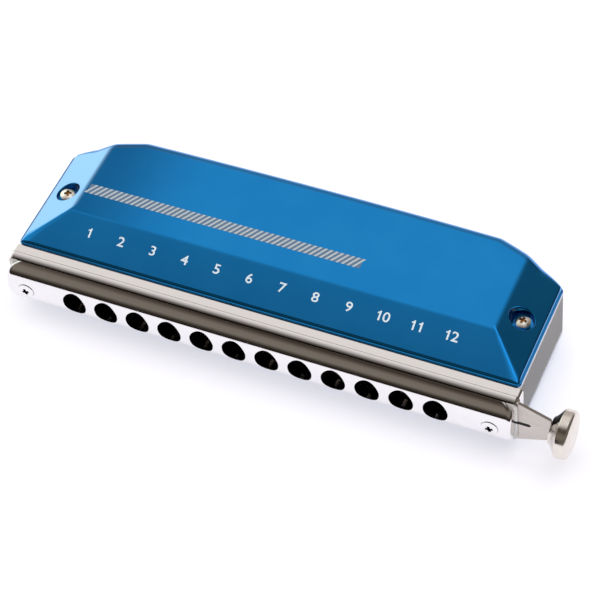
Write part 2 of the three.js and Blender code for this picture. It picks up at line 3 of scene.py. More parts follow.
import bmesh
import bpy
import numpy as np
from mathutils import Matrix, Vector


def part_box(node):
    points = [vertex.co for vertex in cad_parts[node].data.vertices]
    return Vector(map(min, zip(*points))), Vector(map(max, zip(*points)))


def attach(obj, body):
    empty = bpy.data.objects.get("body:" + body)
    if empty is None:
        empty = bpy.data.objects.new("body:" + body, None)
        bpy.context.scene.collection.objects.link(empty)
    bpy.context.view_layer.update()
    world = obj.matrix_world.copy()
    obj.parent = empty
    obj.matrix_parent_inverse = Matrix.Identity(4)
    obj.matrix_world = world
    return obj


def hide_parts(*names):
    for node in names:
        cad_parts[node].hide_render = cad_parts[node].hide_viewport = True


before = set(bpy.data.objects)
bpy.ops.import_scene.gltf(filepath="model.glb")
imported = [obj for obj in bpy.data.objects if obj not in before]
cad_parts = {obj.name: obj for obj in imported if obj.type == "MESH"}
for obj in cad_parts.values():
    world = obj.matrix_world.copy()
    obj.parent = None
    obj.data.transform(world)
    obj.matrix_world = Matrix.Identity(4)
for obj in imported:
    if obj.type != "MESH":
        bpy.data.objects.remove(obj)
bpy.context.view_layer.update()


# Viewpoint
# A long lens looks down on the harmonica from its right front, at about fifty degrees.
camera_data = bpy.data.cameras.new("bench_camera")
camera_data.lens = 133.64
camera_data.sensor_width = 36
camera_data.clip_start = 0.05
camera = bpy.data.objects.new("bench_camera", camera_data)
bpy.context.scene.collection.objects.link(camera)
camera.location = (0.18008, -0.32851, 0.45697)
camera.rotation_euler = [math.radians(angle) for angle in (39.0056, 4.5978, 23.3328)]
bpy.context.scene.camera = camera
bpy.context.scene.view_settings.view_transform = "Standard"


# Table and studio light
# A seamless white table, a broad soft panel overhead and behind, a window to the left, a small
# lamp behind, and an unlit room on the side of the lens, mirrored by the plating as brown bands.
SHARE, UNDER, OVER = 0, 6, 7  # sockets of a colour mix
TABLE_HALF = 3
TABLE_GLOW = 0.58
LAMP_AIM = (0.095, 0.214, 0.972)
LAMP_RIM, LAMP_CORE = 0.978, 0.992  # cosines of the angle from its middle
WHITE = (1, 1, 1, 1)


def colour(text):
    """A hex colour as linear light."""
    parts = [int(text[start:start + 2], 16) / 255 for start in (1, 3, 5)]
    linear = [p / 12.92 if p < 0.04045 else ((p + 0.055) / 1.055) ** 2.4 for p in parts]
    return (*linear, 1)


def add(tree, kind, inputs=None, **settings):
    """A node with its settings. An input that is a socket is linked, one that is a node is linked
    from its first output in use, and a list links all that it holds."""
    node = tree.nodes.new(kind)
    for name, value in settings.items():
        setattr(node, name, value)
    for name, value in (inputs or {}).items():
        for source in value if isinstance(value, list) else [value]:
            if isinstance(source, bpy.types.Node):
                source = next(output for output in source.outputs if output.enabled)
            if isinstance(source, bpy.types.NodeSocket):
                tree.links.new(source, node.inputs[name])
            else:
                node.inputs[name].default_value = source
    return node


def new_finish(name):
    """A material and its node tree, still empty."""
    finish = bpy.data.materials.new(name)
    finish.use_nodes = True
    finish.node_tree.nodes.clear()
    return finish, finish.node_tree


def room_patch(edges):
    """A part of the room between soft edges, each an axis of the view's direction, its start
    and end, and its least."""
    share = 1.0
    for axis, start, end, least in edges:
        edge = add(sky, "ShaderNodeMapRange", {
            "Value": aim[axis], "From Min": start, "From Max": end, "To Min": least,
        }, interpolation_type="SMOOTHSTEP")
        share = add(sky, "ShaderNodeMath", {0: share, 1: edge}, operation="MULTIPLY")
    return share


studio = bpy.data.worlds.new("studio")
bpy.context.scene.world = studio
studio.use_nodes = True
sky = studio.node_tree
sky.nodes.clear()
direction = add(sky, "ShaderNodeTexCoord").outputs["Generated"]
aim = add(sky, "ShaderNodeSeparateXYZ", {"Vector": direction}).outputs
panel = room_patch((("Y", -0.32, 0.04, 0.0), ("X", 0.52, 0.05, 0.0), ("Z", 0.5, 0.72, 0.58)))
window = room_patch((("X", -0.50, -0.78, 0.0), ("Y", -0.1, 0.3, 0.0)))
lamp = add(sky, "ShaderNodeMapRange", {
    "Value": add(sky, "ShaderNodeVectorMath", {0: direction, 1: LAMP_AIM},
                 operation="DOT_PRODUCT").outputs["Value"],
    "From Min": LAMP_RIM, "From Max": LAMP_CORE,
}, interpolation_type="SMOOTHSTEP")
backdrop = add(sky, "ShaderNodeValToRGB", {"Fac": aim["Z"]})
stops = ((0.0, "#15110e"), (0.22, "#3a322b"), (0.45, "#7c756b"), (0.68, "#7a7066"),
         (0.86, "#3c332c"), (1.0, "#5c554e"))
ramp = backdrop.color_ramp
while len(ramp.elements) < len(stops):
    ramp.elements.new(0.5)
for element, (place, shade) in zip(ramp.elements, stops):
    element.position = place
    element.color = colour(shade)
seen = add(sky, "ShaderNodeLightPath").outputs["Is Camera Ray"]
for share, light in ((panel, colour("#ede8e4")), (window, (1.45, 1.62, 1.42, 1)),
                     (lamp, (1.05, 1.2, 1.28, 1)), (seen, WHITE)):
    backdrop = add(sky, "ShaderNodeMix", {
        SHARE: share, UNDER: backdrop, OVER: light,
    }, data_type="RGBA")
add(sky, "ShaderNodeOutputWorld", {
    "Surface": add(sky, "ShaderNodeBackground", {"Color": backdrop, "Strength": 1.0}),
})

key_data = bpy.data.lights.new("overhead_panel", "AREA")
key_data.shape = "RECTANGLE"
key_data.size = 1.3
key_data.size_y = 0.8
key_data.energy = 8.8
key = bpy.data.objects.new("overhead_panel", key_data)
bpy.context.scene.collection.objects.link(key)
key.location = (0.14, -0.14, 0.95)
key.rotation_euler = (-key.location).to_track_quat("-Z", "Y").to_euler()
key.visible_glossy = False

table_mesh = bpy.data.meshes.new("table_top")
table_mesh.from_pydata([(TABLE_HALF * x, TABLE_HALF * y, 0)
                        for x, y in ((-1, -1), (1, -1), (1, 1), (-1, 1))], [], [(0, 1, 2, 3)])
table = bpy.data.objects.new("table_top", table_mesh)
bpy.context.scene.collection.objects.link(table)
# Matt white paper: keeps the soft shadow, and glows a little where the lens or a mirror sees it.
paper, tree = new_finish("matt_white_paper")
path = add(tree, "ShaderNodeLightPath").outputs
shown = path["Is Camera Ray"]
for ray in ("Is Glossy Ray", "Is Transmission Ray"):
    shown = add(tree, "ShaderNodeMath", {0: shown, 1: path[ray]}, operation="MAXIMUM")
glow = add(tree, "ShaderNodeEmission", {
    "Color": colour("#fbfaff"),
    "Strength": add(tree, "ShaderNodeMath", {0: shown, 1: TABLE_GLOW}, operation="MULTIPLY"),
})
matt = add(tree, "ShaderNodeBsdfDiffuse", {"Color": colour("#bcbbc0")})
add(tree, "ShaderNodeOutputMaterial", {
    "Surface": add(tree, "ShaderNodeAddShader", {0: matt, 1: glow}),
})
table_mesh.materials.append(paper)


# Covers
# Two stamped sheet covers, each with four sloped sides round a flat top and a dished seat for
# each screw, plated bright and dipped in transparent blue lacquer.
low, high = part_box("mouthpiece")
LIPS = np.array([(low[0] + high[0]) / 2, low[1], (low[2] + high[2]) / 2])
BODY_HALF = 69.2
COVER_FRONT = 8.15
COVER_SEAT = 8.05
COVER_TOP = 13.66
COVER_SHEET = 0.7
FLAT_HALF = 58.14
FLAT_FRONT = 20.35
FRONT_LIP, FRONT_LIP_WIDE = 0.7, 0.4
END_LIP, END_LIP_WIDE = 0.75, 0.5
LIP_RISE, LIP_STEEP = 0.5, 1.7
LIP_BLEND = 0.3
EDGE_ROLL, EDGE_DROP, EDGE_BLEND = 0.25, 0.2, 0.6
TOP_BLEND = 0.45
RIDGE_BLEND, RIDGE_WIDENING = 0.2, 1.6  # at the top, and how much more at the foot
BACK_ROUND, BACK_ROUND_LEAST = 3.6, 0.3
BACK_CORNER = [(BODY_HALF, 39.85), (BODY_HALF, 41.92), (58.45, 46.15), (50.0, 48.85)]
BACK_MIDDLE = (0.0, 49.85)
BACK_STEPS = 40
FRONT_CORNER = 1.3
RIM_HEIGHT = 0.1
SOUND_SLOT_TOP = 10.65
SOUND_SLOT_HALF = 59.0
SOUND_SLOT_END = 1.5
CUP_X, CUP_Y = 63.45, 26.2
CUP_FLOOR = 9.25
CUP_RADIUS = 2.45
CUP_FLARE, CUP_STEEP, CUP_BLEND = 0.92, 3, 0.75
CUP_PATCH, CUP_OVERLAP, CUP_SINK = 4.5, 0.5, 0.004
CUP_TURNS = 96


def placed(points):
    """Millimetres from the middle of the lips' face, as metres in the frame."""
    return np.asarray(points, float) / 1000 + LIPS


def mesh_object(name, points, faces, finish, body="harmonica_body", closed=True):
    """A smooth skin that rides on a body; an open one keeps the order of its faces' corners."""
    mesh = bpy.data.meshes.new(name)
    mesh.from_pydata([tuple(p) for p in placed(points)], [], faces)
    mesh.validate()
    work = bmesh.new()
    work.from_mesh(mesh)
    bmesh.ops.remove_doubles(work, verts=work.verts, dist=1e-7)
    if closed:
        bmesh.ops.recalc_face_normals(work, faces=work.faces)
    for edge in work.edges:
        edge.smooth = not edge.is_boundary
    work.to_mesh(mesh)
    work.free()
    mesh.polygons.foreach_set("use_smooth", [True] * len(mesh.polygons))
    mesh.materials.append(finish)
    shape = bpy.data.objects.new(name, mesh)
    bpy.context.scene.collection.objects.link(shape)
    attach(shape, body)
    return shape


def soft_min(first, second, blend):
    """The lower of two heights, with the crease between them rounded."""
    near = np.clip(blend - np.abs(first - second), 0, None) / blend
    return np.minimum(first, second) - near ** 2 * blend / 4


def rolled(distance, reach, drop):
    """How far an edge rolls down, at a distance in from it."""
    share = np.clip((reach - distance) / reach, 0, 1)
    return drop * (1 - np.sqrt(1 - share ** 2))


def bezier(points, count):
    """Spots along the curve that a row of control points gives."""
    t = np.linspace(0, 1, count)[:, None]
    spots = [np.asarray(p, float) for p in points]
    while len(spots) > 1:
        spots = [a + (b - a) * t for a, b in zip(spots, spots[1:])]
    return spots[0]


def spread(marks):
    """Places between marks, each stretch with its own step."""
    runs = [np.arange(a, b - step * 0.3, (b - a) / max(1, round((b - a) / step)))
            for (a, step), (b, _) in zip(marks, marks[1:])]
    return np.concatenate([*runs, [marks[-1][0]]])


left_corner = [(-x, y) for x, y in reversed(BACK_CORNER)]
back_line = np.vstack([
    bezier(BACK_CORNER, BACK_STEPS),
    bezier([BACK_CORNER[-1], BACK_MIDDLE, left_corner[0]], BACK_STEPS)[1:],
    bezier(left_corner, BACK_STEPS)[1:],
])


def front_line(reach):
    """The cover's front edge at a distance in from its end, round its corner."""
    corner = np.clip(FRONT_CORNER - reach, 0, FRONT_CORNER)
    return COVER_FRONT + FRONT_CORNER - np.sqrt(FRONT_CORNER ** 2 - corner ** 2)


def cover_height(x, y):
    """Height of the cover's outer face over each spot of its outline."""
    reach = BODY_HALF - np.abs(x)
    front_rise = (COVER_TOP - COVER_SEAT - FRONT_LIP) / (FLAT_FRONT - COVER_FRONT)
    end_rise = (COVER_TOP - COVER_SEAT - END_LIP) / (BODY_HALF - FLAT_HALF)
    front = COVER_SEAT + FRONT_LIP + (y - COVER_FRONT) * front_rise
    end = COVER_SEAT + END_LIP + reach * end_rise
    low_down = np.clip((COVER_TOP - np.minimum(front, end)) / (COVER_TOP - COVER_SEAT), 0, 1)
    form = soft_min(front, end, RIDGE_BLEND + RIDGE_WIDENING * low_down ** 3)
    form = soft_min(form, np.full_like(x, COVER_TOP), TOP_BLEND)
    cup = np.hypot(np.abs(x) - CUP_X, y - CUP_Y)
    well = CUP_FLOOR + np.clip((cup - CUP_RADIUS) / CUP_FLARE, 0, None) ** 2 * CUP_STEEP
    form = soft_min(form, well, CUP_BLEND)
    in_front = y - front_line(reach)
    spots = np.stack([x, y], -1).reshape(-1, 1, 2)
    starts, ends = back_line[:-1], back_line[1:]
    along = ends - starts
    share = ((spots - starts) * along).sum(-1) / (along ** 2).sum(-1)
    nearest = starts + np.clip(share, 0, 1)[..., None] * along
    behind = np.linalg.norm(spots - nearest, axis=-1).min(1).reshape(x.shape)
    room = np.clip(form - COVER_SEAT - RIM_HEIGHT, BACK_ROUND_LEAST, BACK_ROUND)
    edge = soft_min(in_front, reach, EDGE_BLEND)
    foot = np.minimum(in_front - FRONT_LIP_WIDE, reach - END_LIP_WIDE)
    wall = COVER_SEAT + LIP_RISE + LIP_STEEP * np.clip(foot, 0, None)
    form = soft_min(form, wall, LIP_BLEND) - rolled(edge, EDGE_ROLL, EDGE_DROP)
    form = form - room * (1 - np.sqrt(1 - np.clip((room - behind) / room, 0, 1) ** 2))
    return np.maximum(form, COVER_SEAT + RIM_HEIGHT)


def cover_skin():
    """The cover's outer face as rows from front to back, and the foot of its back edge, which
    stands above the seat along the sound slot."""
    half = spread([(0, 1.0), (57.0, 0.3), (60.2, 0.5), (67.7, 0.1), (BODY_HALF, 0.1)])
    columns = np.concatenate([-half[:0:-1], half])
    shares = spread([(0, 0.0024), (0.04, 0.012), (0.27, 0.007), (0.33, 0.018), (0.86, 0.006),
                     (0.97, 0.003), (1, 0.1)])
    front = front_line(BODY_HALF - np.abs(columns))
    order = np.argsort(back_line[:, 0])
    back = np.interp(columns, back_line[order, 0], back_line[order, 1])
    x = np.repeat(columns[:, None], len(shares), 1)
    y = front[:, None] + (back - front)[:, None] * shares
    z = cover_height(x, y)
    slot = np.clip((SOUND_SLOT_HALF - np.abs(columns)) / SOUND_SLOT_END, 0, 1)
    back_foot = COVER_SEAT + (SOUND_SLOT_TOP - COVER_SEAT) * np.sqrt(slot)
    z[:, -1] = np.maximum(z[:, -1], back_foot + RIM_HEIGHT)
    z[:, -2] = np.maximum(z[:, -2], z[:, -1] + 0.05)
    return x, y, z, back_foot


def cover(name, side, finish):
    """A cover's outer face, its rim turned down to the seat, and finer rings round each cup."""
    x, y, z, back_foot = cover_skin()
    count, depth = x.shape
    points = [np.stack([x.ravel(), y.ravel(), z.ravel()], -1)]
    middle_x, middle_y = [(grid[1:, 1:] + grid[:-1, :-1]) / 2 for grid in (x, y)]
    kept = np.hypot(np.abs(middle_x) - CUP_X, middle_y - CUP_Y) > CUP_PATCH - CUP_OVERLAP
    faces = [(column * depth + row, (column + 1) * depth + row,
              (column + 1) * depth + row + 1, column * depth + row + 1)
             for column in range(count - 1) for row in range(depth - 1) if kept[column, row]]
    rim = ([(column, 0) for column in range(count)]
           + [(count - 1, row) for row in range(1, depth)]
           + [(column, depth - 1) for column in range(count - 2, -1, -1)]
           + [(0, row) for row in range(depth - 2, 0, -1)])
    points.append(np.array([
        (x[spot], y[spot], back_foot[spot[0]] if spot[1] == depth - 1 else COVER_SEAT)
        for spot in rim]))
    base = count * depth
    for k, (column, row) in enumerate(rim):
        following = (k + 1) % len(rim)
        next_column, next_row = rim[following]
        faces.append((column * depth + row, base + k, base + following,
                      next_column * depth + next_row))
    radii = spread([(1.15, 0.4), (2.35, 0.04), (3.9, 0.1), (CUP_PATCH, 0.1)])
    turns = np.arange(CUP_TURNS) * math.tau / CUP_TURNS
    for cup_x in (-CUP_X, CUP_X):
        start = sum(len(p) for p in points)
        round_x = (cup_x + radii[:, None] * np.cos(turns)).ravel()
        round_y = (CUP_Y + radii[:, None] * np.sin(turns)).ravel()
        round_z = cover_height(round_x[:, None], round_y[:, None])[:, 0] - CUP_SINK
        points.append(np.stack([round_x, round_y, round_z], -1))
        for ring in range(len(radii) - 1):
            inner = start + ring * CUP_TURNS
            outer = inner + CUP_TURNS
            faces += [(inner + k, outer + k, outer + (k + 1) % CUP_TURNS,
                       inner + (k + 1) % CUP_TURNS) for k in range(CUP_TURNS)]
    points = np.vstack(points)
    points[:, 2] *= side
    if side < 0:
        faces = [face[::-1] for face in faces]
    shape = mesh_object(name, points, faces, finish, closed=False)
    sheet = shape.modifiers.new("sheet", "SOLIDIFY")
    sheet.thickness = COVER_SHEET / 1000
    sheet.offset = -1
    return shape


def lacquered_plating():
    """Transparent blue lacquer over bright plating: mirrors its surroundings in blue, with faint
    unevenness where the lacquer flowed, a painted darker reflection on the left end of the flat
    top, and a whiter gloss where the eye meets it slantwise."""
    flow_spacing = 100 / 9
    flat_from, flat_to = 0.936, 0.956  # how level a face is that gets the painted darker reflection
    reflection_dark_from, reflection_dark_to = -0.058, -0.026
    finish, tree = new_finish("blue_lacquer_on_bright_plating")
    where = add(tree, "ShaderNodeTexCoord").outputs["Object"]
    flow = add(tree, "ShaderNodeTexNoise", {
        "Vector": where, "Scale": 1000 / flow_spacing, "Detail": 2.0,
    })
    tint = add(tree, "ShaderNodeMix", {
        SHARE: flow, UNDER: colour("#1d84cf"), OVER: colour("#2690d9"),
    }, data_type="RGBA")
    level = add(tree, "ShaderNodeSeparateXYZ", {
        "Vector": add(tree, "ShaderNodeNewGeometry").outputs["Normal"],
    }).outputs
    flat = add(tree, "ShaderNodeMapRange", {
        "Value": level["Z"], "From Min": flat_from, "From Max": flat_to,
    }, interpolation_type="SMOOTHSTEP")
    left = add(tree, "ShaderNodeMapRange", {
        "Value": add(tree, "ShaderNodeSeparateXYZ", {"Vector": where}).outputs["X"],
        "From Min": reflection_dark_from, "From Max": reflection_dark_to, "To Min": 0.55, "To Max": 0.0,
    }, interpolation_type="SMOOTHSTEP")
    # Painted darker reflection: the level faces at the left end of the top get a deeper blue.
    thick = add(tree, "ShaderNodeMath", {0: flat, 1: left}, operation="MULTIPLY")
    deeper = add(tree, "ShaderNodeMix", {
        SHARE: thick, UNDER: tint, OVER: colour("#063a66"),
    }, data_type="RGBA")
    polish = add(tree, "ShaderNodeMapRange", {
        "Value": flow, "From Min": 0.3, "From Max": 0.7, "To Min": 0.10, "To Max": 0.15,
    }, interpolation_type="SMOOTHSTEP")
    slant = add(tree, "ShaderNodeMapRange", {
        "Value": add(tree, "ShaderNodeLayerWeight", {"Blend": 0.5}).outputs["Facing"],
        "From Min": 0.28, "From Max": 0.5,
    }, interpolation_type="SMOOTHSTEP")
    not_behind = add(tree, "ShaderNodeMapRange", {
        "Value": level["Y"], "From Min": 0.05, "From Max": 0.2, "To Min": 1.0, "To Max": 0.05,
    }, interpolation_type="SMOOTHSTEP")
    gloss = add(tree, "ShaderNodeMath", {0: slant, 1: not_behind}, operation="MULTIPLY")
    add(tree, "ShaderNodeOutputMaterial", {"Surface": add(tree, "ShaderNodeBsdfPrincipled", {
        "Base Color": deeper, "Metallic": 1.0, "Roughness": polish, "Coat Weight": gloss,
        "Coat IOR": 2.5, "Coat Roughness": 0.12,
    })})
    return finish


lacquer = lacquered_plating()
for name, side in (("top_cover", 1), ("bottom_cover", -1)):
    shape = cover(name + "_stamping", side, lacquer)
    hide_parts(name)


# Mouthpiece and front plate
# A cast bar, polished and chromed, whose shoulder curves over to the pressed front plate behind
# it, both with rounded outer corners. The twelve oval holes and the two screw seats are cut
# through with softened rims. The walls inside the holes and the plate's channel behind them are
# painted almost black as shade.
NOSE_HALF = 70.1
NOSE_BACK = 5.6
NOSE_CURVE = 8.0
MOUTH_DEPTH = 3.64
PLATE_SPAN = (3.65, 5.55)
FACE_HALF = 1.4
SHOULDER = 6.866
END_SHOULDER = 0.5
FACE_CORNER, NOSE_CORNER = 1.2, 7.5
HOLE_COUNT = 12
HOLE_PITCH = 9.1
HOLE_WIDE, HOLE_TALL = 6.6, 7.6
WINDOW_HALF_WIDE, WINDOW_HALF_TALL = 2.9, 4.6
BAR_CUT, SHEET_CUT, CHANNEL_CUT = (-1, 5), (3, 4.5), (4.05, 6.5)
CHANNEL_HALF, CHANNEL_REACH = 7.3, 72
DARK_BORE_HALF, DARK_BORE_FROM, DARK_ROW_HALF = 3.78, 0.9, 54.5
DARK_CHANNEL_HALF, DARK_CHANNEL_REACH = 7.29, 58.0
SCREW_X = 64.24
SEAT_WIDE, SEAT_DEPTH = 4.5, 1.3
SHANK_WIDE = 2.5
LAND_X, LAND_HALF_WIDE, LAND_HALF_TALL = 68.35, 1.75, 7.12
LAND_SPAN = (3.62, 3.66)
NOTCH_X, NOTCH_Y, NOTCH_Z = (69.5, 70.09), (3.60, 4.04), (-0.38, 0.5)


def rounded_ring(half_x, half_z, radius, y, steps=16):
    """A rectangle with round corners, as a ring of spots at one depth."""
    ring = []
    for sign_x, sign_z, turn in ((1, 1, 0), (-1, 1, 90), (-1, -1, 180), (1, -1, 270)):
        for step in range(steps + 1):
            angle = math.radians(turn + 90 * step / steps)
            ring.append((sign_x * (half_x - radius) + radius * math.cos(angle), y,
                         sign_z * (half_z - radius) + radius * math.sin(angle)))
    return ring


def skinned(rings):
    """A closed skin over rings that follow one another from front to back."""
    count = len(rings[0])
    points = [p for ring in rings for p in ring]
    faces = [(k * count + i, (k + 1) * count + i, (k + 1) * count + (i + 1) % count,
              k * count + (i + 1) % count)
             for k in range(len(rings) - 1) for i in range(count)]
    faces.append(tuple(range(count)))
    faces.append(tuple((len(rings) - 1) * count + i for i in range(count))[::-1])
    return points, faces


def nose(start, end, steps, square=False):
    """The rounded nose between two depths behind the lips, or its plate with square corners."""
    first, last = math.acos(1 - start / NOSE_CURVE), math.acos(1 - end / NOSE_CURVE)
    rings = []
    for step in range(steps + 1):
        angle = first + (last - first) * step / steps
        depth = NOSE_CURVE * (1 - math.cos(angle))
        corner = FACE_CORNER + (NOSE_CORNER - FACE_CORNER) * (depth / NOSE_BACK) ** 2
        rings.append(rounded_ring(
            NOSE_HALF if square else NOSE_HALF - END_SHOULDER,
            FACE_HALF + SHOULDER * math.sin(angle), FACE_CORNER if square else corner, depth))
    return skinned(rings)


def metal_finish(name, shades, smooth, dull, grain, marks=(1, 1, 1), metallic=1.0):
    """A metal surface whose colour and roughness wander a little, with marks of a size in mm."""
    finish, tree = new_finish(name)
    where = add(tree, "ShaderNodeMapping", {
        "Vector": add(tree, "ShaderNodeTexCoord").outputs["Object"], "Scale": marks,
    })
    haze = add(tree, "ShaderNodeTexNoise", {
        "Vector": where, "Scale": 1000 / grain, "Detail": 3.0,
    })
    tint = add(tree, "ShaderNodeMix", {
        SHARE: haze, UNDER: colour(shades[0]), OVER: colour(shades[1]),
    }, data_type="RGBA")
    polish = add(tree, "ShaderNodeMapRange", {
        "Value": haze, "From Min": 0.3, "From Max": 0.7, "To Min": smooth, "To Max": dull,
    }, interpolation_type="SMOOTHSTEP")
    add(tree, "ShaderNodeOutputMaterial", {"Surface": add(tree, "ShaderNodeBsdfPrincipled", {
        "Base Color": tint, "Metallic": metallic, "Roughness": polish,
    })})
    return finish


def drilled(shape, cutters):
    """The shape with each cutter taken away, as a plain mesh."""
    tools = []
    for number, cutter in enumerate(cutters):
        tool = mesh_object(f"drill_{number}", *cutter, shape.data.materials[0])
        bore = shape.modifiers.new(f"bore_{number}", "BOOLEAN")
        bore.operation = "DIFFERENCE"
        bore.solver = "EXACT"
        bore.object = tool
        tools.append(tool)
    bpy.context.view_layer.update()
    graph = bpy.context.evaluated_depsgraph_get()
    shape.data = bpy.data.meshes.new_from_object(shape.evaluated_get(graph))
    shape.modifiers.clear()
    for tool in tools:
        bpy.data.objects.remove(tool)


def oval_bore(x, wide, tall, span, steps=48):
    """An oval cutter along the depth, centred on the middle plane."""
    turns = [math.tau * k / steps for k in range(steps)]
    rim = [(x + wide / 2 * math.cos(t), tall / 2 * math.sin(t)) for t in turns]
    return skinned([[(a, y, b) for a, b in rim] for y in span])


def slab(x_span, y_span, z_span):
    """A block between two places along each axis."""
    (x0, x1), (z0, z1) = x_span, z_span
    return skinned([[(x1, y, z1), (x0, y, z1), (x0, y, z0), (x1, y, z0)] for y in y_span])


def softened(shape, width, limit):
    """Rounds the edges that turn more than a limit in degrees, to a width in mm."""
    rims = shape.modifiers.new("rims", "BEVEL")
    rims.width = width / 1000
    rims.segments = 3
    rims.limit_method = "ANGLE"
    rims.angle_limit = math.radians(limit)
    rims.harden_normals = True


def darkened(shape, finish, chosen):
    """Gives a second finish to the faces that a test of their middle, in mm, and normal picks."""
    shape.data.materials.append(finish)
    for face in shape.data.polygons:
        if chosen((face.center - Vector(LIPS)) * 1000, face.normal):
            face.material_index = 1


# Bright chrome over buffed metal: a clear, faintly warm mirror with the finest polishing haze.
chrome = metal_finish("polished_chrome_plating", ("#efeeef", "#e8e7e9"), 0.04, 0.09, 2.5)
# Near-black steel for painted shade: the dark inside the holes, channels, slits and hollows.
painted_shade_steel = metal_finish("painted_shade_dark_steel", ("#2b2826", "#121111"), 0.2, 0.4, 1.5)
# The plate's face outside the bar is plated but not polished: a pale satin.
plate_land = metal_finish("pale_satin_plate_land", ("#ffffff", "#f6f2ec"), 0.4, 0.5, 1.0,
                          metallic=0.5)
hole_places = [(index - (HOLE_COUNT - 1) / 2) * HOLE_PITCH for index in range(HOLE_COUNT)]
bar = mesh_object("mouthpiece_bar", *nose(0, MOUTH_DEPTH, 30), chrome)
bores = [oval_bore(x, HOLE_WIDE, HOLE_TALL, BAR_CUT) for x in hole_places]
for side in (-1, 1):
    bores.append(oval_bore(side * SCREW_X, SEAT_WIDE, SEAT_WIDE, (BAR_CUT[0], SEAT_DEPTH)))
    bores.append(oval_bore(side * SCREW_X, SHANK_WIDE, SHANK_WIDE, BAR_CUT))
drilled(bar, bores)
# Painted shade: the bore walls deeper than the rims get the near-black steel.
darkened(bar, painted_shade_steel, lambda spot, normal: abs(spot.z) < DARK_BORE_HALF
         and spot.y > DARK_BORE_FROM and abs(spot.x) < DARK_ROW_HALF and abs(normal.y) < 0.5)
softened(bar, 0.14, 40)
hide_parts("mouthpiece")

plate = mesh_object("front_plate_pressing", *nose(*PLATE_SPAN, 12, square=True), chrome)
openings = [slab((x - WINDOW_HALF_WIDE, x + WINDOW_HALF_WIDE), SHEET_CUT,
                 (-WINDOW_HALF_TALL, WINDOW_HALF_TALL)) for x in hole_places]
openings.append(slab((-CHANNEL_REACH, CHANNEL_REACH), CHANNEL_CUT,
                     (-CHANNEL_HALF, CHANNEL_HALF)))
for side in (-1, 1):
    openings.append(oval_bore(side * SCREW_X, SHANK_WIDE, SHANK_WIDE, SHEET_CUT))
drilled(plate, openings)
# Painted shade: the plate's channel and windows get the near-black steel.
darkened(plate, painted_shade_steel, lambda spot, normal: abs(spot.z) < DARK_CHANNEL_HALF
         and abs(spot.x) < DARK_CHANNEL_REACH)
softened(plate, 0.06, 40)
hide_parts("slide_front_plate")
for side, label in ((-1, "left"), (1, "right")):
    outline = rounded_ring(LAND_HALF_WIDE, LAND_HALF_TALL, FACE_CORNER, 0)
    land = mesh_object(f"front_plate_land_{label}", *skinned([
        [(x + side * LAND_X, y, z) for x, _, z in outline] for y in LAND_SPAN]), plate_land)
# A near-black block at the plate's right end: painted shade of a notch.
notch = mesh_object("front_plate_end_notch", *slab(NOTCH_X, NOTCH_Y, NOTCH_Z), painted_shade_steel)


